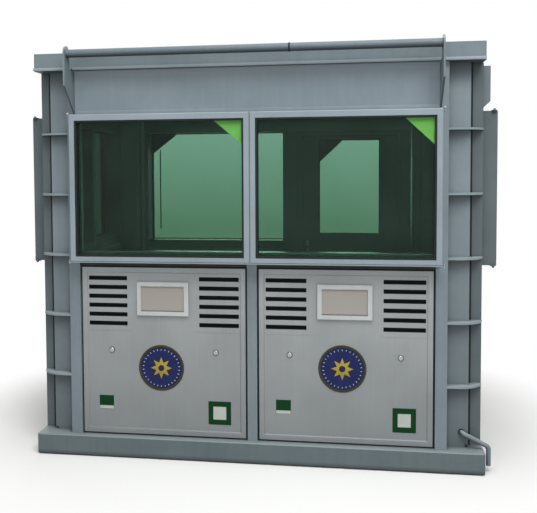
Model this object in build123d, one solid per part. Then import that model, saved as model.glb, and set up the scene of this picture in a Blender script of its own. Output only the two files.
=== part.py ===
from build123d import *
import os

# All lengths are in millimetres. X runs across the front, Y towards the rear, Z up.
# The origin is the middle of the base's underside.

# overall sizes
wallWidth = 2680.0
wallDepth = 1800.0
wallHeight = 2242.0
baseHeight = 128.0
baseSideLedge = 8.0
baseFrontLedge = 45.0
baseCornerRound = 16.0
baseFootBevel = 9.0
baseTopBevel = 5.0
roofHeight = 105.0
roofFrontOverhang = 36.0
roofSideInset = 6.0
roofCornerRound = 14.0
roofLipHeight = 16.0
roofLipDepth = 6.0
roofLipBevel = 8.0

# wall make-up
frontThick = 80.0
sideThick = 77.0
postWidth = 67.0
centrePostWidth = 58.0
skinThick = 32.0
skinGap = 8.0
skinEdgeGap = 12.0
skinRimWidth = 34.0
skinRimHeight = 6.0
skinRimSlope = 45.0
panelFoot = 10.0
fasciaHeight = 307.0
fasciaStripHeight = 28.0
fasciaStripDepth = 8.0

# stepped corners
cornerReach = 205.0
columnRecess = 60.0
columnSide = 135.0
sideEndRecess = 110.0
drainWidth = 18.0
drainDepth = 40.0
drainHeight = 16.0
ribCount = 5
ribThick = 12.0
ribRadius = 150.0
ribProud = 8.0
ribDrop = 7.0

# windows
windowHeight = 819.0
sillBand = 63.0
sillRise = 22.0
rearWindowDrop = 59.0
frameFace = 30.0
frameHeadFace = 36.0
frameJambFace = 33.0
frameDepth = 95.0
frameBevel = 4.0
frameSeam = 2.0
frameInset = 41.0
sideFrameInset = 190.0
glassThick = 6.0
glassSetback = 28.0
glassRebate = 10.0
glassEdgeGap = 2.0

# louvre slots, hatches and locks of the front panels
slotLength = 243.0
slotHeight = 26.0
slotPitch = 56.0
slotCount = 6
slotEdge = 40.0
slotDrop = 67.0
hatchWidth = 322.0
hatchHeight = 209.0
hatchFace = 27.0
hatchDepth = 18.0
hatchBevel = 3.0
hatchDrop = 190.0
flapThick = 8.0
flapGap = 6.0
lockRadius = 15.0
lockDepth = 9.0
lockBevel = 3.0
lockDrop = 513.0
lockSpread = 650.0
keySlotLength = 12.0
keySlotWidth = 3.0
keySlotDepth = 4.0

# floor and base frame
railWidth = 130.0
joistWidth = 80.0
joistPitch = 460.0
joistCount = 3
floorThick = 20.0

# rear door
doorMiddle = 570.0
doorWidth = 820.0
doorGap = 10.0
doorFreeGap = 12.0
doorPostWidth = 115.0
doorThick = 45.0
doorSetback = 7.0
doorLightWidth = 476.0
doorLightHeight = 752.0
doorTopRail = 59.0
doorFieldRail = 110.0
doorFieldDepth = 5.0
hingeCount = 3
hingeEndInset = 270.0
hingePinRadius = 7.0
hingeFit = 0.3
hingeSleeveRadius = 14.0
hingeSleeveHeight = 60.0
hingeGap = 0.5
hingeArmHeight = 14.0
hingeProud = 25.0
hingeInset = 5.0
hingeStrapLength = 90.0
hingeStrapThick = 8.0
hingeStrapHeight = 44.0
hingeFootLength = 70.0
handleRise = 930.0
handleLength = 220.0
handleWidth = 24.0
handleThick = 8.0
handleStand = 50.0
handleBend = 20.0
handleInset = 70.0

# awning cheeks, tube and side bracket
cheekThick = 10.0
cheekInset = 41.0
cheekReach = 175.0
cheekFootGap = 8.0
cheekKneeDrop = 105.0
cheekHeadDrop = 18.0
cheekHeadRadius = 44.0
tubeRadius = 24.0
tubeWall = 3.0
bracketReach = 50.0
bracketThick = 10.0
bracketSlope = 47.0

# bent pipe at the right front corner
pipeRadius = 13.5
pipeBore = 10.5
pipeMouth = 40.0
pipeInset = 90.0
pipeStub = 30.0
pipeRise = 92.0
pipeElbowRise = 20.0
pipeEndHeight = 38.0
pipeClear = 26.0
pipeBend = 28.0

halfWidth = wallWidth / 2
halfDepth = wallDepth / 2
floorTop = baseHeight + floorThick
wallTop = baseHeight + wallHeight
roofTop = wallTop + roofHeight
frontFace = -halfDepth
frontBack = frontFace + frontThick
rearFace = halfDepth
rearInner = rearFace - frontThick
sideInner = halfWidth - sideThick
flangeEdge = halfWidth - cornerReach
columnFace = frontFace + columnRecess
sideFront = frontFace + sideEndRecess
panelOuter = flangeEdge - postWidth
panelInner = centrePostWidth / 2
panelMiddle = (panelInner + panelOuter) / 2
windowHead = wallTop - fasciaHeight
windowFoot = windowHead - windowHeight
frameTop = windowHead + frameHeadFace
sillHeight = windowFoot - sillBand
rearWindowFoot = windowFoot - rearWindowDrop
rearSillHeight = rearWindowFoot - sillBand
sideFrameReach = halfDepth - sideFrameInset
sideOpening = sideFrameReach - frameFace
backWall = Rot(0, 0, 180)
rightWall = Pos(halfWidth + frontFace, 0, 0) * Rot(0, 0, 90)


def block(x0, x1, y0, y1, z0, z1):
    """A box between two corners."""
    size = Box(x1 - x0, y1 - y0, z1 - z0, align=(Align.MIN, Align.MIN, Align.MIN))
    return Pos(x0, y0, z0) * size


def bothX(solid):
    """A solid and its mirror image across the middle of the booth's width."""
    return [solid, mirror(solid, about=Plane.YZ)]


def bothY(solids):
    """Solids and their mirror images, front to rear."""
    return list(solids) + [mirror(each, about=Plane.XZ) for each in solids]


def facing(x, y, z):
    """A sketch plane parallel to the front wall whose normal points away from the booth."""
    return Plane(origin=(x, y, z), x_dir=(1, 0, 0), z_dir=(0, -1, 0))


def save(name, solids):
    """Writes one node."""
    export_step(Compound(children=list(solids)), os.path.join("parts", name + ".step"))


os.makedirs("parts", exist_ok=True)

# base frame: end rails, front and rear rails cut from one rounded outline, joists between them
baseHalfX = halfWidth + baseSideLedge
baseHalfY = halfDepth + baseFrontLedge
railInner = baseHalfX - railWidth
outline = extrude(RectangleRounded(baseHalfX * 2, baseHalfY * 2, baseCornerRound), amount=baseHeight)
outline = chamfer(outline.faces().sort_by(Axis.Z)[0].edges(), baseFootBevel)
outline = chamfer(outline.faces().sort_by(Axis.Z)[-1].edges(), baseTopBevel)
endRail = outline & block(railInner, baseHalfX, -baseHalfY, baseHalfY, 0, baseHeight)
save("base_end_rails", bothX(endRail))
frontRail = outline & block(-railInner, railInner, -baseHalfY, railWidth - baseHalfY, 0, baseHeight)
crossRails = bothY([frontRail])
for row in range(joistCount):
    middle = (row - (joistCount - 1) / 2) * joistPitch
    edge = joistWidth / 2
    crossRails.append(block(-railInner, railInner, middle - edge, middle + edge, 0, baseHeight))
save("base_cross_rails", crossRails)

# corner columns stand in the steps of the wall corners, with a drain notch at the foot
column = block(flangeEdge, sideInner, columnFace, columnFace + columnSide, baseHeight, wallTop)
notchEdge = sideInner - drainWidth
drainTop = baseHeight + drainHeight
notch = block(notchEdge, sideInner, columnFace, columnFace + drainDepth, baseHeight, drainTop)
columnShafts = bothY(bothX(column))
save("corner_columns", bothY(bothX(column - notch)))

# floor, notched round the columns
floor = block(-sideInner, sideInner, frontBack, rearInner, baseHeight, floorTop)
for shaft in columnShafts:
    floor = floor - shaft
save("floor_plate", [floor])

# roof slab with rounded corners and a lip along its lower front and rear edges
slabX = halfWidth - roofSideInset
lipY = halfDepth + roofFrontOverhang
slabY = lipY - roofLipDepth
slabFace = Pos(0, 0, wallTop) * RectangleRounded(slabX * 2, slabY * 2, roofCornerRound)
lipFace = Pos(0, 0, wallTop) * RectangleRounded(slabX * 2, lipY * 2, roofCornerRound)
lip = extrude(lipFace, amount=roofLipHeight)
lip = chamfer(lip.faces().sort_by(Axis.Z)[0].edges(), roofLipBevel)
save("roof_slab", [extrude(slabFace, amount=roofHeight) + lip])

# curved ribs across each stepped corner
ribReach = cornerReach + ribProud
ribFace = Pos(flangeEdge, frontFace) * Rectangle(ribReach, cornerReach, align=(Align.MIN, Align.MIN))
ribCorner = ribFace.vertices().sort_by(Axis.X)[-2:].sort_by(Axis.Y)[0]
rib = extrude(fillet(ribCorner, ribRadius), amount=ribThick)
rib = rib - block(flangeEdge, sideInner, columnFace, 0, 0, ribThick)
rib = rib - block(sideInner, flangeEdge + ribReach, sideFront, 0, 0, ribThick)
ribBay = wallHeight / (ribCount + 1)
ribs = []
for row in range(ribCount):
    height = baseHeight + ribBay * (row + 1) - ribThick / 2 - ribDrop
    ribs = ribs + bothX(Pos(0, 0, height) * rib)
save("front_corner_ribs", ribs)
save("rear_corner_ribs", [mirror(each, about=Plane.XZ) for each in ribs])


def windowFrame(x0, x1, foot):
    """One proud window frame on the front plane, and the pane that sits against its lip."""
    proud = frontFace - frameDepth
    lipBack = proud + glassSetback
    frame = block(x0, x1, proud, frontFace, foot - frameFace, frameTop)
    frame = chamfer(frame.faces().sort_by(Axis.Y)[0].edges(), frameBevel)
    inner0 = x0 + frameJambFace
    inner1 = x1 - frameJambFace
    frame = frame - block(inner0, inner1, proud, frontFace, foot, windowHead)
    rebateHead = windowHead + glassRebate
    rebateFoot = foot - glassRebate
    frame = frame - block(
        inner0 - glassRebate, inner1 + glassRebate, lipBack, frontFace, rebateFoot, rebateHead)
    cover = glassRebate - glassEdgeGap
    pane = block(
        inner0 - cover, inner1 + cover, lipBack, lipBack + glassThick, foot - cover, windowHead + cover)
    return frame, pane


def skin(x0, x1, top):
    """An outer panel with a sloped rim round its field, standing on the lining behind it."""
    front = frontFace + skinGap
    foot = baseHeight + panelFoot
    head = top - skinEdgeGap
    plate = block(x0 + skinEdgeGap, x1 - skinEdgeGap, front, front + skinThick, foot, head)
    width = x1 - x0 - 2 * (skinEdgeGap + skinRimWidth)
    height = head - foot - 2 * skinRimWidth
    fieldPlane = facing((x0 + x1) / 2, front + skinRimHeight, (foot + head) / 2)
    field = extrude(fieldPlane * Rectangle(width, height), amount=skinRimHeight, taper=-skinRimSlope)
    return plate - field


liningFace = frontFace + skinGap + skinThick

# front wall: posts, a fascia with a strip over the windows, sills and linings
post = block(panelOuter, flangeEdge, frontFace, frontBack, baseHeight, wallTop)
centrePost = block(-panelInner, panelInner, frontFace, frontBack, baseHeight, windowHead)
save("front_posts", bothX(post) + [centrePost])
fascia = block(-panelOuter, panelOuter, frontFace, frontBack, windowHead, wallTop)
stripFace = frontFace - fasciaStripDepth
strip = block(-panelOuter, panelOuter, stripFace, frontFace, frameTop, frameTop + fasciaStripHeight)
save("front_fascia", [fascia + strip])
sill = block(panelInner, panelOuter, frontFace, frontBack, sillHeight, windowFoot + sillRise)
save("front_sills", bothX(sill))
lining = block(panelInner, panelOuter, liningFace, frontBack, baseHeight, sillHeight)
save("front_linings", bothX(lining))
frameOuter = flangeEdge - frameInset
frame, pane = windowFrame(frameSeam / 2, frameOuter, windowFoot)
save("front_window_frames", bothX(frame))
save("front_glass", bothX(pane))

# louvred front panels
panelTop = sillHeight - skinEdgeGap
slotReach = (panelOuter - panelInner) / 2 - skinEdgeGap - slotEdge - slotLength / 2
slotMiddle = panelTop - slotDrop - slotPitch * (slotCount - 1) / 2
slotSpots = GridLocations(slotReach * 2, slotPitch, 2, slotCount)
slots = Sketch() + [spot * Rectangle(slotLength, slotHeight) for spot in slotSpots]
slotPlane = facing(panelMiddle, frontFace, slotMiddle)
slotCuts = extrude(slotPlane * slots, amount=-(skinGap + skinThick))
panel = skin(panelInner, panelOuter, sillHeight) - slotCuts
save("front_panels", bothX(panel))

# hatch frames and flaps stand on the recessed field of the panels
fieldFace = frontFace + skinGap + skinRimHeight
hatchPlane = facing(panelMiddle, fieldFace, panelTop - hatchDrop)
hatch = extrude(hatchPlane * Rectangle(hatchWidth, hatchHeight), amount=hatchDepth)
hatch = chamfer(hatch.faces().sort_by(Axis.Y)[0].edges(), hatchBevel)
flapWidth = hatchWidth - 2 * hatchFace
flapRoom = hatchHeight - 2 * hatchFace
hatch = hatch - extrude(hatchPlane * Rectangle(flapWidth, flapRoom), amount=hatchDepth)
save("hatch_frames", bothX(hatch))
flapFace = Pos(0, flapGap / 2) * Rectangle(flapWidth, flapRoom - flapGap)
save("hatch_flaps", bothX(extrude(hatchPlane * flapFace, amount=flapThick)))

# lock heads with a key slot, two on each panel
lockPlane = facing(panelMiddle, fieldFace, panelTop - lockDrop)
locks = []
for spot in GridLocations(lockSpread, 0, 2, 1):
    lock = extrude(lockPlane * spot * Circle(lockRadius), amount=lockDepth)
    lock = chamfer(lock.faces().sort_by(Axis.Y)[0].edges(), lockBevel)
    keySlot = extrude(lockPlane * spot * Rectangle(keySlotWidth, keySlotLength), amount=lockDepth)
    keyFloor = extrude(lockPlane * spot * Circle(lockRadius), amount=lockDepth - keySlotDepth)
    locks = locks + bothX(lock - (keySlot - keyFloor))
save("panel_locks", locks)

# side walls
sidePost = block(sideInner, halfWidth, sideFront, -sideOpening, baseHeight, wallTop)
sideCentre = block(sideInner, halfWidth, -panelInner, panelInner, baseHeight, windowHead)
save("side_posts", bothX(sideCentre) + bothY(bothX(sidePost)))
save("side_headers", bothX(block(sideInner, halfWidth, -sideOpening, sideOpening, windowHead, wallTop)))
sideSill = block(sideInner, halfWidth, panelInner, sideOpening, sillHeight, windowFoot)
save("side_sills", bothY(bothX(sideSill)))
liningOuter = halfWidth - skinGap - skinThick
sideLining = block(sideInner, liningOuter, panelInner, sideOpening, baseHeight, sillHeight)
save("side_linings", bothY(bothX(sideLining)))
sideSkins = bothY([rightWall * skin(panelInner, sideOpening, sillHeight)])
save("right_panels", sideSkins)
save("left_panels", [mirror(each, about=Plane.YZ) for each in sideSkins])
sideFrame, sidePane = windowFrame(frameSeam / 2, sideFrameReach, windowFoot)
sideFrames = bothY([rightWall * sideFrame])
save("right_window_frames", sideFrames)
save("left_window_frames", [mirror(each, about=Plane.YZ) for each in sideFrames])
save("side_glass", bothY(bothX(rightWall * sidePane)))

# rear wall, split beside and over the doorway
doorFreeJamb = doorMiddle - doorWidth / 2
doorHingeJamb = doorMiddle + doorWidth / 2
rearOpening = doorPostWidth - doorFreeJamb
rearFrameEdge = rearOpening - panelInner + frameSeam / 2
save("rear_posts", bothX(block(panelOuter, flangeEdge, rearInner, rearFace, baseHeight, wallTop)))
rearMiddle = block(-rearOpening, doorFreeJamb, rearInner, rearFace, baseHeight, windowHead)
hingePost = block(doorHingeJamb, panelOuter, rearInner, rearFace, baseHeight, windowHead)
save("rear_door_posts", [rearMiddle, hingePost])
save("rear_header", [block(-panelOuter, panelOuter, rearInner, rearFace, windowHead, wallTop)])
rearSill = block(rearOpening, panelOuter, frontFace, frontBack, rearSillHeight, rearWindowFoot)
save("rear_sill", [backWall * rearSill])
rearLining = block(rearOpening, panelOuter, liningFace, frontBack, baseHeight, rearSillHeight)
save("rear_lining", [backWall * rearLining])
save("rear_panel", [backWall * skin(rearOpening, panelOuter, rearSillHeight)])
rearFrame, rearPane = windowFrame(rearFrameEdge, frameOuter, rearWindowFoot)
save("rear_window_frame", [backWall * rearFrame])
save("rear_glass", [backWall * rearPane])
save("door_threshold", [block(doorFreeJamb, doorHingeJamb, rearInner, rearFace, baseHeight, floorTop)])

# rear door, hung on the outside at its right edge seen from the front
leaf0 = doorFreeJamb + doorFreeGap
leaf1 = doorHingeJamb - doorGap
leafFoot = floorTop + doorGap
leafHead = windowHead - doorGap
leafFace = rearFace - doorSetback
leafBack = leafFace - doorThick
leafMiddle = (leaf0 + leaf1) / 2
light0 = leafMiddle - doorLightWidth / 2
light1 = leafMiddle + doorLightWidth / 2
lightHead = leafHead - doorTopRail
lightFoot = lightHead - doorLightHeight
fieldFoot = leafFoot + doorFieldRail
fieldHead = lightFoot - doorFieldRail
leaf = block(leaf0, leaf1, leafBack, leafFace, leafFoot, leafHead)
leaf = leaf - block(light0, light1, leafBack, leafFace, lightFoot, lightHead)
leaf = leaf - block(light0, light1, leafFace - doorFieldDepth, leafFace, fieldFoot, fieldHead)
save("rear_door", [leaf])
glassBack = (leafBack + leafFace - glassThick) / 2
doorPane = block(light0, light1, glassBack, glassBack + glassThick, lightFoot, lightHead)
save("rear_door_glass", [doorPane])

# hinges: a sleeve on a strap for the door, a pin on an arm for the post
hingeBoreRadius = hingePinRadius + hingeFit
hingeX = doorHingeJamb - hingeInset
hingeY = rearFace + hingeProud
hingeLow = leafFoot + hingeEndInset
hingePitch = (leafHead - hingeEndInset - hingeLow) / (hingeCount - 1)
sleeves = []
pins = []
for row in range(hingeCount):
    height = hingeLow + hingePitch * row
    sleeve = Pos(hingeX, hingeY, height) * Cylinder(hingeSleeveRadius, hingeSleeveHeight)
    armEnd = hingeX - (hingeSleeveRadius + hingeBoreRadius) / 2
    armStart = armEnd - hingeSleeveRadius
    strapFoot = height - hingeStrapHeight / 2
    strapHead = height + hingeStrapHeight / 2
    arm = block(armStart, armEnd, leafFace, hingeY, strapFoot, strapHead)
    strapEnd = leafFace + hingeStrapThick
    strap = block(armEnd - hingeStrapLength, armEnd, leafFace, strapEnd, strapFoot, strapHead)
    sleeve = sleeve + arm + strap
    sleeves.append(sleeve - Pos(hingeX, hingeY, height) * Cylinder(hingeBoreRadius, hingeSleeveHeight))
    armTop = height - hingeSleeveHeight / 2 - hingeGap
    armFoot = armTop - hingeArmHeight
    rootEnd = hingeX + hingeFootLength
    root = block(hingeX - hingePinRadius, rootEnd, rearFace, hingeY, armFoot, armTop)
    root = root - block(
        hingeX + hingeSleeveRadius, rootEnd, rearFace + hingeStrapThick, hingeY, armFoot, armTop)
    root = root + Pos(hingeX, hingeY, (armFoot + armTop) / 2) * Cylinder(hingePinRadius, hingeArmHeight)
    pinLength = hingeSleeveHeight + hingeGap
    pins.append(root + Pos(hingeX, hingeY, armTop + pinLength / 2) * Cylinder(hingePinRadius, pinLength))
save("door_hinge_sleeves", sleeves)
save("door_hinge_pins", pins)

# one flat-bar bow handle on each face of the door
bow = Rectangle(handleStand, handleLength, align=(Align.MIN, Align.CENTER))
bow = fillet(bow.vertices().sort_by(Axis.X)[-2:], handleBend)
fingerRoom = Rectangle(
    handleStand - handleThick, handleLength - 2 * handleThick, align=(Align.MIN, Align.CENTER))
fingerRoom = fillet(fingerRoom.vertices().sort_by(Axis.X)[-2:], handleBend - handleThick)
handles = []
for face, way in ((leafFace, 1), (leafBack, -1)):
    handlePlane = Plane(
        origin=(leaf0 + handleInset, face, floorTop + handleRise), x_dir=(0, way, 0), z_dir=(1, 0, 0))
    handles.append(extrude(handlePlane * (bow - fingerRoom), amount=handleWidth / 2, both=True))
save("door_handles", handles)

# awning cheeks on the front wall with a round tube between them
cheekFoot = frameTop + cheekFootGap
cheekKnee = wallTop - cheekKneeDrop
cheekHead = roofTop - cheekHeadDrop
cheekShelf = wallTop - cheekThick
cheekOuter = flangeEdge - cheekInset
headBack = cheekReach - 2 * cheekHeadRadius
cheekOutline = Polyline(
    (0, cheekFoot), (cheekReach, cheekKnee), (cheekReach, cheekHead), (headBack, cheekHead),
    (headBack, wallTop), (roofFrontOverhang + cheekThick, cheekShelf), (0, cheekShelf), close=True)
cheekFace = make_face(cheekOutline)
cheekFace = cheekFace + Pos(cheekReach - cheekHeadRadius, cheekHead) * Circle(cheekHeadRadius)
cheekPlane = Plane(origin=(cheekOuter, frontFace, 0), x_dir=(0, -1, 0), z_dir=(-1, 0, 0))
save("awning_cheeks", bothX(extrude(cheekPlane * cheekFace, amount=cheekThick)))
tubeSpan = cheekOuter - cheekThick
tubeAxis = Plane(
    origin=(-tubeSpan, frontFace - cheekReach + cheekHeadRadius, cheekHead),
    x_dir=(0, 1, 0), z_dir=(1, 0, 0))
tube = extrude(tubeAxis * (Circle(tubeRadius) - Circle(tubeRadius - tubeWall)), amount=tubeSpan * 2)
save("awning_tube", [tube])

# side bracket over the right windows
bracketFace = make_face(Polyline(
    (0, cheekFoot), (bracketReach, cheekFoot + bracketSlope), (bracketReach, cheekShelf),
    (0, cheekShelf), close=True))
bracketPlane = Plane(origin=(halfWidth, -sideFrameReach, 0), x_dir=(1, 0, 0), z_dir=(0, -1, 0))
save("side_bracket", [extrude(bracketPlane * bracketFace, amount=bracketThick)])

# bent pipe from the right front column out over the end of the base, open at its lower end
pipeX = flangeEdge + pipeInset
pipeY = columnFace - pipeStub
pipeOut = baseHalfX + pipeClear
pipeStartHeight = baseHeight + pipeRise
pipePath = FilletPolyline(
    (pipeX, columnFace, pipeStartHeight), (pipeX, pipeY, pipeStartHeight),
    (pipeOut, pipeY, baseHeight + pipeElbowRise), (pipeOut, pipeY, pipeEndHeight), radius=pipeBend)
pipe = sweep(Plane(origin=pipePath @ 0, z_dir=pipePath % 0) * Circle(pipeRadius), path=pipePath)
mouth = extrude(Pos(pipeOut, pipeY, pipeEndHeight) * Circle(pipeBore), amount=pipeMouth)
save("corner_pipe", [pipe - mouth])
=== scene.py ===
import bmesh
import bpy
import math
from mathutils import Matrix, Vector


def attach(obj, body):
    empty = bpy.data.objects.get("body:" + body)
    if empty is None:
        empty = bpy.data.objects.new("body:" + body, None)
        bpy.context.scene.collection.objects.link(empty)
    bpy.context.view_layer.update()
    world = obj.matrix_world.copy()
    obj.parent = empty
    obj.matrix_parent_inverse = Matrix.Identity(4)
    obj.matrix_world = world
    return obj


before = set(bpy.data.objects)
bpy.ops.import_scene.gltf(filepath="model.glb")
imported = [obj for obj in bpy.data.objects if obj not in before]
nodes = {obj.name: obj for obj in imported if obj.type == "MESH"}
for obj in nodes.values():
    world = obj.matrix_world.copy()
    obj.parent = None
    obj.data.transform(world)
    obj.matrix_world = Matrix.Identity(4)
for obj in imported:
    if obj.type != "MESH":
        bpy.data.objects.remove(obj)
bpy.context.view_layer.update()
scene = bpy.context.scene
mm = 0.001
creaseRays = 6  # rays that each ambient occlusion node casts
smoothAngle = math.radians(35)


# small helpers

def hexColor(code):  # sRGB hex to linear
    parts = [int(code[i:i + 2], 16) / 255 for i in (0, 2, 4)]
    return (*[p / 12.92 if p <= 0.04045 else ((p + 0.055) / 1.055) ** 2.4 for p in parts], 1.0)


def addNode(tree, kind, sockets=None, **settings):  # one node with its settings, values and links
    node = tree.nodes.new("ShaderNode" + kind)
    for key, value in settings.items():
        setattr(node, key, value)
    for key, value in (sockets or {}).items():
        if isinstance(value, bpy.types.NodeSocket):
            tree.links.new(value, node.inputs[key])
        else:
            node.inputs[key].default_value = value
    return node


def perMetre(size):  # texture scale for a feature of so many millimetres
    return 1000.0 / size


def startMaterial(name):
    material = bpy.data.materials.new(name)
    material.use_nodes = True
    return material, material.node_tree, material.node_tree.nodes["Principled BSDF"]


def newPiece(name, kind, place, stretch=(1, 1, 1), turn=(0, 0, 0), **more):  # a primitive at its size and place
    bpy.ops.object.select_all(action="DESELECT")
    getattr(bpy.ops.mesh, "primitive_" + kind + "_add")(location=place, rotation=turn, **more)
    piece = bpy.context.object
    piece.name = piece.data.name = name
    piece.scale = stretch
    bpy.ops.object.transform_apply(location=True, rotation=True, scale=True)
    return piece


def alone(piece):
    bpy.ops.object.select_all(action="DESELECT")
    piece.select_set(True)
    bpy.context.view_layer.objects.active = piece


def editOn(piece):
    alone(piece)
    bpy.ops.object.mode_set(mode="EDIT")


def editOff():
    bpy.ops.object.mode_set(mode="OBJECT")


def pick(piece, test, kind="FACE"):  # selects faces by centre and normal, or edges by middle and run
    bpy.ops.mesh.select_mode(type=kind)
    bpy.ops.mesh.select_all(action="DESELECT")
    work = bmesh.from_edit_mesh(piece.data)
    work.normal_update()
    if kind == "FACE":
        for face in work.faces:
            face.select_set(test(face.calc_center_median(), face.normal))
    else:
        for edge in work.edges:
            ends = [v.co for v in edge.verts]
            edge.select_set(test((ends[0] + ends[1]) / 2, ends[1] - ends[0]))
    bmesh.update_edit_mesh(piece.data)


def pushFaces(move):
    bpy.ops.mesh.extrude_region_move(TRANSFORM_OT_translate={"value": move})


def copyPiece(piece, name, shift=(0, 0, 0), flip=(1, 1, 1)):  # own mesh, moved or mirrored about the origin
    alone(piece)
    bpy.ops.object.duplicate()
    twin = bpy.context.object
    twin.name = twin.data.name = name
    twin.location = shift
    twin.scale = flip
    bpy.ops.object.transform_apply(location=True, rotation=True, scale=True)
    if flip[0] * flip[1] * flip[2] < 0:
        editOn(twin)
        bpy.ops.mesh.select_all(action="SELECT")
        bpy.ops.mesh.normals_make_consistent(inside=False)
        editOff()
    return twin


def joinPieces(pieces, name):
    alone(pieces[0])
    for piece in pieces[1:]:
        piece.select_set(True)
    bpy.ops.object.join()
    joined = bpy.context.object
    joined.name = joined.data.name = name
    return joined


def finishPiece(piece, body, *materials, slot=None):  # shaded, painted and put on its body
    alone(piece)
    bpy.ops.object.shade_smooth_by_angle(angle=smoothAngle)
    if not piece.data.materials:
        for material in materials:
            piece.data.materials.append(material)
    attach(piece, body)
    return piece


# camera at the photograph's angle

cameraLook = {
    "place": (0.5812, -5.63239, 1.76933),
    "yaw": 0.15761, "pitch": -0.05179, "roll": 0.00676,  # radians
    "focalPx": 802.59, "middlePx": (223.07, 210.31),  # lens and its axis, in the image's pixels
    "image": (537, 513), "sensor": 36.0, "clipEnd": 200,
}
wide, tall = cameraLook["image"]
lens = bpy.data.cameras.new("photoCamera")
lens.sensor_fit = "HORIZONTAL"
lens.sensor_width = cameraLook["sensor"]
lens.lens = cameraLook["sensor"] * cameraLook["focalPx"] / wide
lens.shift_x = (wide / 2 - cameraLook["middlePx"][0]) / wide
lens.shift_y = (cameraLook["middlePx"][1] - tall / 2) / wide
lens.clip_end = cameraLook["clipEnd"]
camera = bpy.data.objects.new("photoCamera", lens)
scene.collection.objects.link(camera)
camera.matrix_world = (
    Matrix.Translation(cameraLook["place"])
    @ Matrix.Rotation(cameraLook["yaw"], 4, "Z")
    @ Matrix.Rotation(cameraLook["pitch"], 4, "X")
    @ Matrix.Rotation(cameraLook["roll"], 4, "Y")
    @ Matrix.Rotation(math.pi / 2, 4, "X")
)
scene.camera = camera
print("camera: lens", round(lens.lens, 2), "mm")


# floor and soft studio light

stageLook = {
    "floorSize": 90.0, "floorDrop": 0.0006, "floorGrainMm": 900,
    "floorColor": "FBFBF9", "floorShade": "F7F7F5",  # as seen
    "floorBounce": "A4A4A2",  # as it lights the object
    "floorFade": (1.6, 2.5),  # metres out, where the lit floor gives way to the plain white of the background
    "skyColor": "FFFFFF", "skyLight": 0.36,  # what the world gives to surfaces; the view of it is plain white
    "lamps": {  # place, aim, size and power of each softbox
        "keySoftbox": ((2.4, -5.8, 7.0), (0.0, -0.6, 1.0), 4.2, 248.0),
        "fillSoftbox": ((0.2, -8.0, 1.9), (0.0, -0.5, 0.9), 5.0, 92.0),
        "topSoftbox": ((0.6, -3.2, 7.2), (0.3, -1.5, 0.0), 6.0, 270.0),
        "backSoftbox": ((-0.8, 7.5, 5.2), (-0.3, 0.8, 1.0), 4.5, 150.0),
    },
}
scene.view_settings.view_transform = "Standard"

world = bpy.data.worlds.new("paleStudio")
scene.world = world
world.use_nodes = True
sky = world.node_tree
skyOut = sky.nodes["Background"]
path = addNode(sky, "LightPath")
seen = addNode(sky, "Math", {0: path.outputs["Is Camera Ray"], 1: path.outputs["Is Glossy Ray"]}, operation="MAXIMUM")
seen = addNode(sky, "Math", {0: seen.outputs[0], 1: path.outputs["Is Transmission Ray"]}, operation="MAXIMUM")
level = addNode(sky, "MapRange", {"Value": seen.outputs[0], "To Min": stageLook["skyLight"], "To Max": 1.0})
skyOut.inputs["Color"].default_value = hexColor(stageLook["skyColor"])
sky.links.new(level.outputs["Result"], skyOut.inputs["Strength"])

floor = newPiece("studioFloor", "plane", (0, 0, -stageLook["floorDrop"]), (stageLook["floorSize"],) * 2 + (1,), size=1)
floorPaint, tree, shader = startMaterial("matt studio floor")  # flat pale paint, no gloss
grain = addNode(tree, "TexNoise", {"Scale": perMetre(stageLook["floorGrainMm"]), "Detail": 2.0})
tone = addNode(tree, "MixRGB", {"Fac": grain.outputs["Fac"], "Color1": hexColor(stageLook["floorColor"]),
                                "Color2": hexColor(stageLook["floorShade"])})
shader.inputs["Roughness"].default_value = 0.95
shader.inputs["Specular IOR Level"].default_value = 0.1
spot = addNode(tree, "TexCoord").outputs["Object"]
reach = addNode(tree, "VectorMath", {0: spot}, operation="LENGTH")
fade = addNode(tree, "MapRange", {"Value": reach.outputs["Value"], "From Min": stageLook["floorFade"][0],
                                  "From Max": stageLook["floorFade"][1]}, interpolation_type="SMOOTHSTEP")
path = addNode(tree, "LightPath")
seen = addNode(tree, "Math", {0: path.outputs["Is Camera Ray"], 1: path.outputs["Is Glossy Ray"]}, operation="MAXIMUM")
seen = addNode(tree, "Math", {0: seen.outputs[0], 1: path.outputs["Is Transmission Ray"]}, operation="MAXIMUM")
shown = addNode(tree, "MixRGB", {"Fac": seen.outputs[0], "Color1": hexColor(stageLook["floorBounce"]),
                                 "Color2": tone.outputs[0]})
tree.links.new(shown.outputs[0], shader.inputs["Base Color"])
away = addNode(tree, "Math", {0: seen.outputs[0], 1: fade.outputs["Result"]}, operation="MULTIPLY")
plain = addNode(tree, "Emission", {"Color": hexColor(stageLook["skyColor"]), "Strength": 1.0})
both = addNode(tree, "MixShader", {0: away.outputs[0], 1: shader.outputs[0], 2: plain.outputs[0]})
tree.links.new(both.outputs[0], tree.nodes["Material Output"].inputs["Surface"])
floor.data.materials.append(floorPaint)


def addLamp(name, place, aim, size, power):
    lamp = bpy.data.lights.new(name, "AREA")
    lamp.shape = "DISK"
    lamp.size = size
    lamp.energy = power
    holder = bpy.data.objects.new(name, lamp)
    scene.collection.objects.link(holder)
    holder.location = place
    holder.rotation_euler = (Vector(aim) - Vector(place)).to_track_quat("-Z", "Y").to_euler()
    return holder


lamps = {name: addLamp(name, *look) for name, look in stageLook["lamps"].items()}
fill = lamps["fillSoftbox"]
fill.visible_glossy = fill.visible_transmission = False  # kept out of the panes' reflections
print("stage: floor, world and", len(lamps), "softboxes")


# materials

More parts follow.
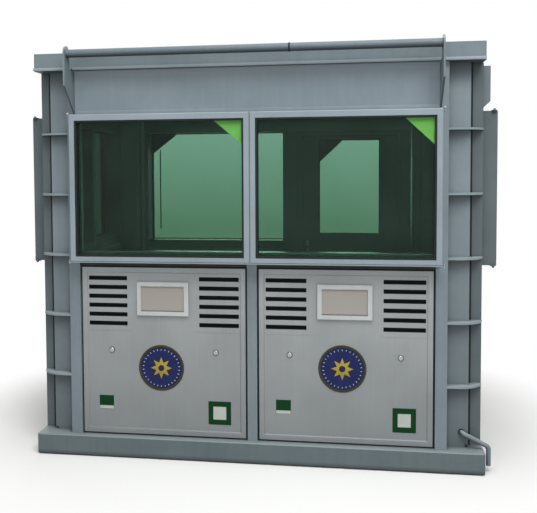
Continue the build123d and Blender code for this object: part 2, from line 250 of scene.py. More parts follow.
# sprayed satin enamel on steel: clouds, rain runs; painted shade in creases, under what stands over a spot and on
# undersides; dust and painted highlight on upward faces; darker towards the foot
def makeEnamel(name, look):
    material, tree, shader = startMaterial(name)
    source = addNode(tree, "TexCoord")
    place = source.outputs["Object"]
    cloud = addNode(tree, "TexNoise", {"Vector": place, "Scale": perMetre(look["cloudMm"]), "Detail": 5.0,
                                       "Roughness": 0.62})
    cloudTone = addNode(tree, "MapRange", {"Value": cloud.outputs["Fac"], "From Min": 0.3, "From Max": 0.7})
    color = addNode(tree, "MixRGB", {"Fac": cloudTone.outputs[0], "Color1": hexColor(look["deep"]),
                                     "Color2": hexColor(look["pale"])})
    runs = addNode(tree, "Mapping", {"Vector": place, "Scale": (perMetre(look["runMm"][0]),) * 2
                                     + (perMetre(look["runMm"][1]),)})
    run = addNode(tree, "TexNoise", {"Vector": runs.outputs[0], "Scale": 1.0, "Detail": 3.0})
    runTone = addNode(tree, "MapRange", {"Value": run.outputs["Fac"], "From Min": 0.48, "From Max": 0.78,
                                         "To Max": look["runs"]})
    color = addNode(tree, "MixRGB", {"Fac": runTone.outputs[0], "Color1": color.outputs[0],
                                     "Color2": hexColor(look["grimeAndShade"])})
    # painted shade: spots with something standing over or close to them, such as under ribs and the roof, are darkened
    upward = addNode(tree, "VectorMath", {0: addNode(tree, "NewGeometry").outputs["Normal"], 1: (0, 0, 0.9)})
    upward = addNode(tree, "VectorMath", {0: upward.outputs[0]}, operation="NORMALIZE")  # what stands over each spot
    crease = addNode(tree, "AmbientOcclusion", {"Distance": look["creaseMm"] * mm, "Normal": upward.outputs[0]},
                     samples=creaseRays)
    creaseShadeTone = addNode(tree, "MapRange", {"Value": crease.outputs["AO"], "From Min": 0.25, "From Max": 0.7,
                                            "To Min": look["crease"], "To Max": 0.0})
    tilt = addNode(tree, "SeparateXYZ", {0: source.outputs["Normal"]})
    # painted shade: faces turned downward are darkened
    underShadeTone = addNode(tree, "MapRange", {"Value": tilt.outputs["Z"], "From Min": -0.8, "From Max": -0.1,
                                           "To Min": look["under"], "To Max": 0.0})
    # dust and painted highlight: faces turned upward are paled
    dustAndHighlightTone = addNode(tree, "MapRange", {"Value": tilt.outputs["Z"], "From Min": 0.4, "From Max": 0.9,
                                          "To Max": look["dust"]})
    color = addNode(tree, "MixRGB", {"Fac": dustAndHighlightTone.outputs[0], "Color1": color.outputs[0],
                                     "Color2": hexColor(look["dusty"])})
    # darker towards the foot, up to the given height
    height = addNode(tree, "SeparateXYZ", {0: place})
    footDarkTone = addNode(tree, "MapRange", {"Value": height.outputs["Z"], "From Max": look["footDarkMm"] * mm,
                                            "To Min": look["footDark"], "To Max": 0.0})
    # painted shade in creases and on undersides, and the darkening towards the foot, mix towards the same colour as the
    # rain runs
    for dirtAndShadeMask in (creaseShadeTone, underShadeTone, footDarkTone):
        color = addNode(tree, "MixRGB", {"Fac": dirtAndShadeMask.outputs[0], "Color1": color.outputs[0],
                                         "Color2": hexColor(look["grimeAndShade"])})
    tree.links.new(color.outputs[0], shader.inputs["Base Color"])
    peel = addNode(tree, "TexNoise", {"Vector": place, "Scale": perMetre(look["peelMm"]), "Detail": 2.0})
    bump = addNode(tree, "Bump", {"Height": peel.outputs["Fac"], "Strength": look["peel"], "Distance": 0.4 * mm})
    tree.links.new(bump.outputs[0], shader.inputs["Normal"])
    gloss = addNode(tree, "MapRange", {"Value": cloud.outputs["Fac"], "To Min": look["rough"] - 0.06,
                                       "To Max": look["rough"] + 0.08})
    tree.links.new(gloss.outputs[0], shader.inputs["Roughness"])
    shader.inputs["Specular IOR Level"].default_value = look["shine"]
    return material


# orange peel is really 1 to 2 mm; drawn at 7 mm so that it shows at this distance
# crease and under set painted shade; dust and dusty pale the upward faces as dust and painted highlight
bodyLook = {"deep": "6F7C81", "pale": "7C898E", "grimeAndShade": "363D3E", "cloudMm": 420, "runMm": (30, 700), "runs": 0.09,
            "creaseMm": 90, "crease": 0.72, "under": 0.75, "dust": 0.5, "dusty": "A9B2B4",
            "footDark": 0.0, "footDarkMm": 40, "peelMm": 7, "peel": 0.12, "rough": 0.46, "shine": 0.35}
bodyEnamel = makeEnamel("satin enamel on sheet steel", bodyLook)
roofEnamel = makeEnamel("satin enamel on fascia, header and posts", {  # pale colour for creases and runs: painted light where the roof lip and window frames cast shadow
    **bodyLook, "deep": "76838A", "pale": "849198", "grimeAndShade": "A6B1B7", "crease": 0.6, "under": 0.0})
# painted shade: a darker copy of the body enamel, with the underside darkened nearly fully
shadedTubeEnamel = makeEnamel("satin enamel on the awning tube, painted darker as shade", {
    **bodyLook, "deep": "606C74", "pale": "6C7880", "crease": 0.2, "under": 0.95, "dust": 0.0})
columnEnamel = makeEnamel("satin enamel on the corner columns", {  # darker towards the bottom, up to the window sills; the painted shade reaches further, so that it falls under the roof too
    **bodyLook, "deep": "7C898F", "pale": "89969C", "creaseMm": 150, "footDark": 0.53, "footDarkMm": 1500})
# painted highlight: a lighter copy of the body enamel, with paler tops
litRibEnamel = makeEnamel("satin enamel on the corner ribs, painted lighter as lit", {**bodyLook, "deep": "87959B", "pale": "95A3A8", "dust": 0.7})
# painted shade: a darker copy of the body enamel for the sides, their frames, ears and drips
shadedSideEnamel = makeEnamel("satin enamel on the sides, painted darker as shade", {**bodyLook, "deep": "586266", "pale": "646F73"})
# darker towards the foot: dirt, and painted shade along the ground
baseEnamel = makeEnamel("satin enamel on the base rails", {
    **bodyLook, "deep": "5F6C71", "pale": "6B777B", "grimeAndShade": "2A2A28", "footDark": 0.95, "footDarkMm": 34})
frameEnamel = makeEnamel("powder coat on window frames", {
    **bodyLook, "deep": "8C99A0", "pale": "98A4AC", "grimeAndShade": "5C6668", "runs": 0.06, "crease": 0.1,
    "peel": 0.06, "rough": 0.42})
sillEnamel = makeEnamel("gloss enamel on sills", {**bodyLook, "peel": 0.02, "rough": 0.2, "shine": 0.5})
hatchEnamel = makeEnamel("white stove enamel on hatch frames", {
    **bodyLook, "deep": "C2C6C7", "pale": "CDD1D1", "grimeAndShade": "83867F", "runs": 0.05, "crease": 0.25, "cloudMm": 160,
    "peel": 0.04, "rough": 0.4})


# rolled aluminium sheet, lacquered: fine upright streaks, dull patches; painted shade in creases and on upward ledges;
# darker towards the foot, which paints light on the upper sheet
def makePanelSheet(name, look):
    material, tree, shader = startMaterial(name)
    source = addNode(tree, "TexCoord")
    place = source.outputs["Object"]
    cloud = addNode(tree, "TexNoise", {"Vector": place, "Scale": perMetre(look["cloudMm"]), "Detail": 4.0})
    cloudTone = addNode(tree, "MapRange", {"Value": cloud.outputs["Fac"], "From Min": 0.32, "From Max": 0.68})
    color = addNode(tree, "MixRGB", {"Fac": cloudTone.outputs[0], "Color1": hexColor(look["deep"]),
                                     "Color2": hexColor(look["pale"])})
    rolled = addNode(tree, "Mapping", {"Vector": place, "Scale": (perMetre(look["streakMm"][0]),) * 2
                                       + (perMetre(look["streakMm"][1]),)})
    streak = addNode(tree, "TexNoise", {"Vector": rolled.outputs[0], "Scale": 1.0, "Detail": 4.0, "Roughness": 0.7})
    streakTone = addNode(tree, "MapRange", {"Value": streak.outputs["Fac"], "From Min": 0.45, "From Max": 0.75,
                                            "To Max": look["streaks"]})
    color = addNode(tree, "MixRGB", {"Fac": streakTone.outputs[0], "Color1": color.outputs[0],
                                     "Color2": hexColor(look["streak"])})
    # painted shade: darker in creases and corners
    crease = addNode(tree, "AmbientOcclusion", {"Distance": look["creaseMm"] * mm}, samples=creaseRays)
    creaseShadeTone = addNode(tree, "MapRange", {"Value": crease.outputs["AO"], "From Min": 0.4, "From Max": 0.9,
                                            "To Min": look["crease"], "To Max": 0.0})
    tilt = addNode(tree, "SeparateXYZ", {0: source.outputs["Normal"]})
    # painted shade: upward-facing ledges are darkened
    ledgeShadeTone = addNode(tree, "MapRange", {"Value": tilt.outputs["Z"], "From Min": 0.1, "From Max": 0.6,
                                           "To Max": look["ledgeShade"]})
    # darker towards the foot; this paints light onto the upper sheet, against the window frames' shadow
    height = addNode(tree, "SeparateXYZ", {0: place})
    footDarkTone = addNode(tree, "MapRange", {"Value": height.outputs["Z"], "From Min": look["footDarkMm"][0] * mm,
                                            "From Max": look["footDarkMm"][1] * mm, "To Min": look["footDark"],
                                            "To Max": 0.0})
    for dirtAndShadeMask in (creaseShadeTone, ledgeShadeTone, footDarkTone):
        color = addNode(tree, "MixRGB", {"Fac": dirtAndShadeMask.outputs[0], "Color1": color.outputs[0],
                                         "Color2": hexColor(look["grimeAndShade"])})
    tree.links.new(color.outputs[0], shader.inputs["Base Color"])
    bump = addNode(tree, "Bump", {"Height": streak.outputs["Fac"], "Strength": 0.08, "Distance": 0.3 * mm})
    tree.links.new(bump.outputs[0], shader.inputs["Normal"])
    gloss = addNode(tree, "MapRange", {"Value": streak.outputs["Fac"], "To Min": 0.4, "To Max": 0.56})
    tree.links.new(gloss.outputs[0], shader.inputs["Roughness"])
    shader.inputs["Metallic"].default_value = look["metal"]
    return material


# rolling lines are under 1 mm; drawn 9 mm wide so that they show
panelSheet = makePanelSheet("rolled aluminium sheet", {
    "deep": "9BA0A2", "pale": "A8ADAF", "streak": "B2B5B3", "grimeAndShade": "5E6467", "cloudMm": 330, "streakMm": (9, 520),
    "streaks": 0.35, "metal": 0.25, "creaseMm": 40, "crease": 0.2, "ledgeShade": 0.45, "footDark": 0.48,
    "footDarkMm": (200, 1150)})

# moulded ABS: fine leather grain, even colour with a little yellowing
flapPlastic, tree, shader = startMaterial("moulded ABS flap")
place = addNode(tree, "TexCoord").outputs["Object"]
grain = addNode(tree, "TexVoronoi", {"Vector": place, "Scale": perMetre(6)})  # really about 1 mm, drawn coarser to show
age = addNode(tree, "TexNoise", {"Vector": place, "Scale": perMetre(120), "Detail": 3.0})
tone = addNode(tree, "MixRGB", {"Fac": age.outputs["Fac"], "Color1": hexColor("A5A09A"),
                                "Color2": hexColor("AAA49E")})
tree.links.new(tone.outputs[0], shader.inputs["Base Color"])
bump = addNode(tree, "Bump", {"Height": grain.outputs["Distance"], "Strength": 0.08, "Distance": 0.3 * mm})
tree.links.new(bump.outputs[0], shader.inputs["Normal"])
shader.inputs["Roughness"].default_value = 0.55

# nickel-plated steel: bright with hazy finger marks
nickel, tree, shader = startMaterial("nickel-plated steel")
place = addNode(tree, "TexCoord").outputs["Object"]
haze = addNode(tree, "TexNoise", {"Vector": place, "Scale": perMetre(14), "Detail": 3.0})
tone = addNode(tree, "MixRGB", {"Fac": haze.outputs["Fac"], "Color1": hexColor("A2A6A8"),
                                "Color2": hexColor("BCBFC0")})
tree.links.new(tone.outputs[0], shader.inputs["Base Color"])
gloss = addNode(tree, "MapRange", {"Value": haze.outputs["Fac"], "To Min": 0.18, "To Max": 0.38})
tree.links.new(gloss.outputs[0], shader.inputs["Roughness"])
shader.inputs["Metallic"].default_value = 1.0


# float glass tinted in the mass: green, weak reflections, a film of dust, lets the lamps through
def makeGlass(name, look):
    material, tree, shader = startMaterial(name)
    place = addNode(tree, "TexCoord").outputs["Object"]
    wave = addNode(tree, "TexNoise", {"Vector": place, "Scale": perMetre(700), "Detail": 1.0})
    tone = addNode(tree, "MixRGB", {"Fac": wave.outputs["Fac"], "Color1": hexColor(look["deep"]),
                                    "Color2": hexColor(look["tint"])})
    height = addNode(tree, "SeparateXYZ", {0: place})
    low = addNode(tree, "MapRange", {"Value": height.outputs["Z"], "From Min": look["footMm"][0] * mm,
                                     "From Max": look["footMm"][1] * mm, "To Min": 1.0, "To Max": 0.0})
    tone = addNode(tree, "MixRGB", {"Fac": low.outputs[0], "Color1": tone.outputs[0], "Color2": hexColor(look["foot"])})
    tree.links.new(tone.outputs[0], shader.inputs["Base Color"])
    shader.inputs["Roughness"].default_value = 0.0
    shader.inputs["IOR"].default_value = look["ior"]  # below the 1.5 of bare glass, for its weak reflections
    dust = addNode(tree, "TexNoise", {"Vector": place, "Scale": perMetre(260), "Detail": 4.0})
    clean = addNode(tree, "MapRange", {"Value": dust.outputs["Fac"], "From Min": 0.3, "From Max": 0.7,
                                       "To Min": look["clean"][0], "To Max": look["clean"][1]})
    tree.links.new(clean.outputs[0], shader.inputs["Transmission Weight"])
    rays = addNode(tree, "LightPath")
    clear = addNode(tree, "BsdfTransparent", {"Color": tone.outputs[0]})
    both = addNode(tree, "MixShader", {0: rays.outputs["Is Shadow Ray"], 1: shader.outputs[0], 2: clear.outputs[0]})
    tree.links.new(both.outputs[0], tree.nodes["Material Output"].inputs["Surface"])
    return material


paneLook = {"tint": "98BAA8", "deep": "92B5A2", "foot": "95B8A5", "footMm": (1250, 1350), "ior": 1.2,
            "clean": (0.972, 0.99)}
tintGlass = makeGlass("green tinted float glass", paneLook)
# darker towards the foot
rearGlass = makeGlass("green tinted float glass, darker at the foot", {
    **paneLook, "tint": "BAD9CD", "deep": "B2D2C3", "foot": "82A68E", "footMm": (1290, 2000)})
filmGlass = makeGlass("float glass with dark film", {**paneLook, "tint": "3C4F45", "deep": "384A41", "foot": "3A4D43"})

# PVC floor sheet: matt, flecked; the flecks are really about 3 mm, drawn at 12 to show
floorSheet, tree, shader = startMaterial("flecked PVC floor sheet")
place = addNode(tree, "TexCoord").outputs["Object"]
fleck = addNode(tree, "TexVoronoi", {"Vector": place, "Scale": perMetre(12)})
tone = addNode(tree, "MixRGB", {"Fac": fleck.outputs["Distance"], "Color1": hexColor("4B5050"),
                                "Color2": hexColor("5E6362")})
tree.links.new(tone.outputs[0], shader.inputs["Base Color"])
shader.inputs["Roughness"].default_value = 0.6

# melamine-faced lining board: pale grey, faint mottling
liningBoard, tree, shader = startMaterial("melamine lining board")
place = addNode(tree, "TexCoord").outputs["Object"]
mottle = addNode(tree, "TexNoise", {"Vector": place, "Scale": perMetre(60), "Detail": 4.0})
tone = addNode(tree, "MixRGB", {"Fac": mottle.outputs["Fac"], "Color1": hexColor("7E8684"),
                                "Color2": hexColor("8A9290")})
tree.links.new(tone.outputs[0], shader.inputs["Base Color"])
shader.inputs["Roughness"].default_value = 0.5

nodeFinish = {
    roofEnamel: "front_fascia rear_header front_posts",
    shadedTubeEnamel: "awning_tube",
    litRibEnamel: "front_corner_ribs rear_corner_ribs",
    columnEnamel: "corner_columns",
    bodyEnamel: "roof_slab awning_cheeks rear_posts rear_door_posts door_threshold rear_door side_bracket corner_pipe",
    shadedSideEnamel: "side_posts side_headers left_window_frames right_window_frames",
    sillEnamel: "front_sills side_sills rear_sill",
    baseEnamel: "base_end_rails base_cross_rails",
    frameEnamel: "front_window_frames rear_window_frame",
    panelSheet: "front_panels left_panels right_panels rear_panel",
    hatchEnamel: "hatch_frames",
    flapPlastic: "hatch_flaps",
    nickel: "panel_locks door_hinge_sleeves door_hinge_pins door_handles",
    tintGlass: "front_glass",
    rearGlass: "rear_glass rear_door_glass",
    filmGlass: "side_glass",
    floorSheet: "floor_plate",
    liningBoard: "front_linings side_linings rear_lining",
}
for material, names in nodeFinish.items():
    for name in names.split():
        for slot in nodes[name].material_slots:
            slot.material = material
print("materials:", len(nodeFinish), "on", sum(len(n.split()) for n in nodeFinish.values()), "nodes")


# EPDM rubber: near black, matt, dusty on its face
rubber, tree, shader = startMaterial("EPDM rubber")
place = addNode(tree, "TexCoord").outputs["Object"]
dust = addNode(tree, "TexNoise", {"Vector": place, "Scale": perMetre(35), "Detail": 4.0})
tone = addNode(tree, "MixRGB", {"Fac": dust.outputs["Fac"], "Color1": hexColor("14191A"),
                                "Color2": hexColor("232A2A")})
tree.links.new(tone.outputs[0], shader.inputs["Base Color"])
shader.inputs["Roughness"].default_value = 0.7
shader.inputs["Specular IOR Level"].default_value = 0.3

# dark brown-grey, matt, uneven strips under the front window frames: painted shade
shade_strip, tree, shader = startMaterial("dark strip paint for painted shade")
place = addNode(tree, "TexCoord").outputs["Object"]
lumps = addNode(tree, "TexNoise", {"Vector": place, "Scale": perMetre(55), "Detail": 4.0})
tone = addNode(tree, "MixRGB", {"Fac": lumps.outputs["Fac"], "Color1": hexColor("2E3331"),
                                "Color2": hexColor("464B47")})
tree.links.new(tone.outputs[0], shader.inputs["Base Color"])
bump = addNode(tree, "Bump", {"Height": lumps.outputs["Fac"], "Strength": 0.4, "Distance": 1.0 * mm})
tree.links.new(bump.outputs[0], shader.inputs["Normal"])
shader.inputs["Roughness"].default_value = 0.8
shader.inputs["Specular IOR Level"].default_value = 0.2

# anodised aluminium trim: pale, half mirror, faint scuffs
trimAlloy, tree, shader = startMaterial("anodised aluminium trim")
place = addNode(tree, "TexCoord").outputs["Object"]
scuff = addNode(tree, "TexNoise", {"Vector": place, "Scale": perMetre(40), "Detail": 4.0})
tone = addNode(tree, "MixRGB", {"Fac": scuff.outputs["Fac"], "Color1": hexColor("CBCFCE"),
                                "Color2": hexColor("DEE1E0")})
tree.links.new(tone.outputs[0], shader.inputs["Base Color"])
gloss = addNode(tree, "MapRange", {"Value": scuff.outputs["Fac"], "To Min": 0.16, "To Max": 0.3})
tree.links.new(gloss.outputs[0], shader.inputs["Roughness"])
shader.inputs["Metallic"].default_value = 1.0

# zinc-plated steel: pale blue-grey crystals, half bright
zinc, tree, shader = startMaterial("zinc-plated steel")
place = addNode(tree, "TexCoord").outputs["Object"]
spangle = addNode(tree, "TexVoronoi", {"Vector": place, "Scale": perMetre(5)})  # crystals about 5 mm
tone = addNode(tree, "MixRGB", {"Fac": spangle.outputs["Distance"], "Color1": hexColor("A4AAAD"),
                                "Color2": hexColor("BCC2C4")})
tree.links.new(tone.outputs[0], shader.inputs["Base Color"])
gloss = addNode(tree, "MapRange", {"Value": spangle.outputs["Distance"], "To Min": 0.26, "To Max": 0.46})
tree.links.new(gloss.outputs[0], shader.inputs["Roughness"])
shader.inputs["Metallic"].default_value = 1.0

# blackened wire gauze: over-under weave, 1.5 mm in truth and drawn at 5 mm to show
gauze, tree, shader = startMaterial("blackened wire gauze")
place = addNode(tree, "TexCoord").outputs["Object"]
upright = addNode(tree, "Mapping", {"Vector": place, "Rotation": (math.pi / 2, 0, 0)})  # the pattern lies in X and Z
weave = addNode(tree, "TexBrick", {"Vector": upright.outputs[0], "Scale": perMetre(5), "Color1": hexColor("262E33"),
                                   "Color2": hexColor("2C353A"), "Mortar": hexColor("14191C"), "Mortar Size": 0.2})
tree.links.new(weave.outputs["Color"], shader.inputs["Base Color"])
shader.inputs["Roughness"].default_value = 0.75
shader.inputs["Specular IOR Level"].default_value = 0.2


# calendered vinyl film, and the enamel and lacquer of the badges: even colour, slight fading, low gloss
def makeVinyl(name, deep, pale, rough=0.45):
    material, tree, shader = startMaterial(name)
    place = addNode(tree, "TexCoord").outputs["Object"]
    fading = addNode(tree, "TexNoise", {"Vector": place, "Scale": perMetre(45), "Detail": 3.0})
    tone = addNode(tree, "MixRGB", {"Fac": fading.outputs["Fac"], "Color1": hexColor(deep), "Color2": hexColor(pale)})
    tree.links.new(tone.outputs[0], shader.inputs["Base Color"])
    gloss = addNode(tree, "MapRange", {"Value": fading.outputs["Fac"], "To Min": rough - 0.05, "To Max": rough + 0.1})
    tree.links.new(gloss.outputs[0], shader.inputs["Roughness"])
    shader.inputs["Specular IOR Level"].default_value = 0.12
    return material


leafVinyl = makeVinyl("leaf green vinyl", "62AC4C", "76BC60")
bottleVinyl = makeVinyl("bottle green vinyl", "063217", "0A3B1D")
whiteVinyl = makeVinyl("white vinyl", "B4BEB6", "C4CCC4")
navyEnamel = makeVinyl("navy vitreous enamel", "1C244E", "283062", 0.3)
goldEnamel = makeVinyl("ochre gold lacquer", "A08A2E", "BCA53E", 0.35)
bronzeEnamel = makeVinyl("bronze lacquer", "3A3720", "4A4526", 0.35)


# rubber gaskets round the panes, and black seals in the gaps round the lower panels, which paint the shade in those
# gaps
gasketLook = {
    "edge": 2.0 * mm,
    "panes": [  # name, middle of the face it lies on, across, up, width, depth, quarter turns, body
        ("front_gasket_left", (-0.5475, -0.967, 1.6535), 1.027, 0.819, 0.012, 0.024, 0, "booth"),
        ("front_gasket_right", (0.5475, -0.967, 1.6535), 1.027, 0.819, 0.012, 0.024, 0, "booth"),
        ("front_tape_left", (-0.5475, -0.961, 1.6535), 1.027, 0.819, 0.010, 0.058, 2, "booth"),
        ("front_tape_right", (0.5475, -0.961, 1.6535), 1.027, 0.819, 0.010, 0.058, 2, "booth"),
        ("right_gasket_front", (1.407, -0.3555, 1.6535), 0.643, 0.819, 0.012, 0.024, 1, "booth"),
        ("right_gasket_rear", (1.407, 0.3555, 1.6535), 0.643, 0.819, 0.012, 0.024, 1, "booth"),
        ("left_gasket_front", (-1.407, -0.3555, 1.6535), 0.643, 0.819, 0.012, 0.024, -1, "booth"),
        ("left_gasket_rear", (-1.407, 0.3555, 1.6535), 0.643, 0.819, 0.012, 0.024, -1, "booth"),
        ("rear_gasket", (-0.5105, 0.967, 1.624), 1.101, 0.878, 0.006, 0.010, 2, "booth"),
        ("door_gasket_outer", (0.571, 0.8735, 1.618), 0.476, 0.752, 0.006, 0.010, 2, "door"),
        ("door_gasket_inner", (0.571, 0.8675, 1.618), 0.476, 0.752, 0.006, 0.010, 0, "door"),
        ("panel_shade_seal_front_left", (-0.5485, -0.8605, 0.6535), 1.034, 1.050, 0.009, 0.022, 0, "booth"),
        ("panel_shade_seal_front_right", (0.5485, -0.8605, 0.6535), 1.034, 1.050, 0.009, 0.022, 0, "booth"),
        ("panel_shade_seal_right_front", (1.3005, -0.3545, 0.6535), 0.646, 1.050, 0.009, 0.022, 1, "booth"),
        ("panel_shade_seal_right_rear", (1.3005, 0.3545, 0.6535), 0.646, 1.050, 0.009, 0.022, 1, "booth"),
        ("panel_shade_seal_left_front", (-1.3005, -0.3545, 0.6535), 0.646, 1.050, 0.009, 0.022, -1, "booth"),
        ("panel_shade_seal_left_rear", (-1.3005, 0.3545, 0.6535), 0.646, 1.050, 0.009, 0.022, -1, "booth"),
        ("panel_shade_seal_rear", (-0.5115, 0.8605, 0.624), 1.108, 0.991, 0.009, 0.022, 2, "booth"),
    ],
}


def makeRing(name, middle, across, up, wide, deep, quarters, edge):  # a flat frame facing -Y, then turned into place
    ring = newPiece(name, "plane", (0, 0, 0), (across, up, 1), (math.pi / 2, 0, 0), size=1)
    editOn(ring)
    bpy.ops.mesh.select_all(action="SELECT")
    bpy.ops.mesh.inset(thickness=wide)
    bpy.ops.mesh.delete(type="FACE")
    bpy.ops.mesh.select_all(action="SELECT")
    pushFaces((0, -deep, 0))
    bpy.ops.mesh.select_all(action="SELECT")
    bpy.ops.mesh.normals_make_consistent(inside=False)
    pick(ring, lambda at, run: at.y < -deep * 0.9 and run.length > 4 * wide, "EDGE")
    bpy.ops.mesh.bevel(offset=edge, segments=2)
    editOff()
    ring.rotation_euler = (0, 0, quarters * math.pi / 2)
    ring.location = middle
    alone(ring)
    bpy.ops.object.transform_apply(location=True, rotation=True, scale=True)
    return ring


for name, middle, across, up, wide, deep, quarters, body in gasketLook["panes"]:
    finishPiece(makeRing(name, middle, across, up, wide, deep, quarters, gasketLook["edge"]), body, rubber)
print("gaskets:", len(gasketLook["panes"]))


# painted stop round the doorway, closing the gap round the leaf
stopLook = {"wide": 34 * mm, "deep": 14 * mm, "edge": 4 * mm, "middle": (0.57, 0.829, 1.1055), "across": 0.82,
            "up": 1.915}
doorStop = makeRing("door_stop", stopLook["middle"], stopLook["across"], stopLook["up"], stopLook["wide"],
                    stopLook["deep"], 2, stopLook["edge"])
finishPiece(doorStop, "booth", bodyEnamel, slot="body_paint")
print("door stop:", stopLook["across"], "by", stopLook["up"], "m")


# louvre inserts: a gauze tray and a slanted blade behind each slot
louvreLook = {
    "slot": (0.243, 0.026), "back": -0.8602, "tray": 25 * mm, "rim": 1.2 * mm, "sink": 16 * mm,
    "clear": 0.2 * mm, "blade": (0.240, 0.017, 1.2 * mm), "bladeEdge": 0.4 * mm, "slant": 38, "bladeAt": -0.876,
    "heights": [1.102 - 0.056 * step for step in range(6)], "middles": (-0.8945, -0.2025, 0.2025, 0.8945),
}
wideSlot, tallSlot = louvreLook["slot"]
tray = newPiece("louvre_tray", "cube", (0, louvreLook["back"] - louvreLook["tray"] / 2, 0),
                (wideSlot - louvreLook["clear"], louvreLook["tray"], tallSlot - louvreLook["clear"]), size=1)
editOn(tray)
pick(tray, lambda at, normal: normal.y < -0.9)
bpy.ops.mesh.inset(thickness=louvreLook["rim"])
pushFaces((0, louvreLook["sink"], 0))
editOff()
blade = newPiece("louvre_blade", "cube", (0, louvreLook["bladeAt"], 0), louvreLook["blade"], size=1)
editOn(blade)
pick(blade, lambda at, run: abs(run.x) > 0.1, "EDGE")
bpy.ops.mesh.bevel(offset=louvreLook["bladeEdge"], segments=2)
bpy.ops.mesh.select_all(action="SELECT")
bpy.ops.transform.rotate(value=math.radians(louvreLook["slant"]), orient_axis="X",
                         center_override=(0, louvreLook["bladeAt"], 0))
editOff()
slat = joinPieces([tray, blade], "louvre_insert")
slats = [copyPiece(slat, f"louvre_{n}", (0, 0, z)) for n, z in enumerate(louvreLook["heights"])]
stack = joinPieces(slats, "louvre_stack")
for n, x in enumerate(louvreLook["middles"]):
    finishPiece(copyPiece(stack, f"louvre_gauze_{n + 1}", (x, 0, 0)), "booth", gauze)
bpy.data.objects.remove(slat)
bpy.data.objects.remove(stack)
print("louvres:", len(louvreLook["middles"]), "stacks of", len(louvreLook["heights"]))


# window ears: a rounded plate and a domed pin at each outer corner of the frames
earLook = {
    "plate": (44 * mm, 30 * mm, 4 * mm), "plateAt": (1.093, -0.974, 2.101), "round": 13 * mm, "plateEdge": 1 * mm,
    "pinAt": (1.105, -0.974), "pinRadius": 7 * mm, "pinHeight": 9 * mm, "dome": 3.2 * mm,
    "shoulder": 3 * mm, "stem": 14 * mm,
    "frontMiddle": 1.6565, "rearMiddle": 1.627, "sideShift": (0.44, -0.384), "sideDrop": 27 * mm,
}
plate = newPiece("ear_plate", "cube", earLook["plateAt"], earLook["plate"], size=1)
editOn(plate)
pick(plate, lambda at, run: abs(run.z) > 1 * mm and at.x > earLook["plateAt"][0], "EDGE")
bpy.ops.mesh.bevel(offset=earLook["round"], segments=6)
pick(plate, lambda at, run: at.z > earLook["plateAt"][2] and abs(run.z) < 1e-6, "EDGE")
bpy.ops.mesh.bevel(offset=earLook["plateEdge"], segments=2)
editOff()
pinFoot = earLook["plateAt"][2] + earLook["plate"][2] / 2
pin = newPiece("ear_pin", "cylinder", (*earLook["pinAt"], pinFoot + earLook["pinHeight"] / 2), vertices=24,
               radius=earLook["pinRadius"], depth=earLook["pinHeight"])
editOn(pin)
pick(pin, lambda at, run: at.z > pinFoot + earLook["pinHeight"] * 0.9, "EDGE")
bpy.ops.mesh.bevel(offset=earLook["dome"], segments=4)
pick(pin, lambda at, normal: normal.z < -0.9)
bpy.ops.mesh.inset(thickness=earLook["shoulder"])
pushFaces((0, 0, -earLook["stem"]))
editOff()
plate.data.materials.append(bodyEnamel)
pin.data.materials.append(zinc)
ear = joinPieces([plate, pin], "front_ear_1")
lift = 2 * earLook["frontMiddle"]
ears = [ear, copyPiece(ear, "front_ear_2", flip=(-1, 1, 1)), copyPiece(ear, "front_ear_3", (0, 0, lift), (1, 1, -1)),
        copyPiece(ear, "front_ear_4", (0, 0, lift), (-1, 1, -1)), copyPiece(ear, "rear_ear_1", flip=(-1, -1, 1)),
        copyPiece(ear, "rear_ear_2", (0, 0, 2 * earLook["rearMiddle"]), (-1, -1, -1))]
side = copyPiece(ear, "side_ear_1")
side.rotation_euler = (0, 0, math.pi / 2)
side.location = (*earLook["sideShift"], 0)
alone(side)
bpy.ops.object.transform_apply(location=True, rotation=True, scale=True)
side.data.materials.clear()
for face in side.data.polygons:
    face.material_index = 0
ears.append(side)
for n, flip in enumerate([(1, -1, 1), (-1, 1, 1), (-1, -1, 1), (1, 1, -1), (1, -1, -1), (-1, 1, -1), (-1, -1, -1)]):
    ears.append(copyPiece(side, f"side_ear_{n + 2}", (0, 0, lift - earLook["sideDrop"] if flip[2] < 0 else 0), flip))
for piece in ears:
    finishPiece(piece, "booth", shadedSideEnamel)
print("window ears:", len(ears))


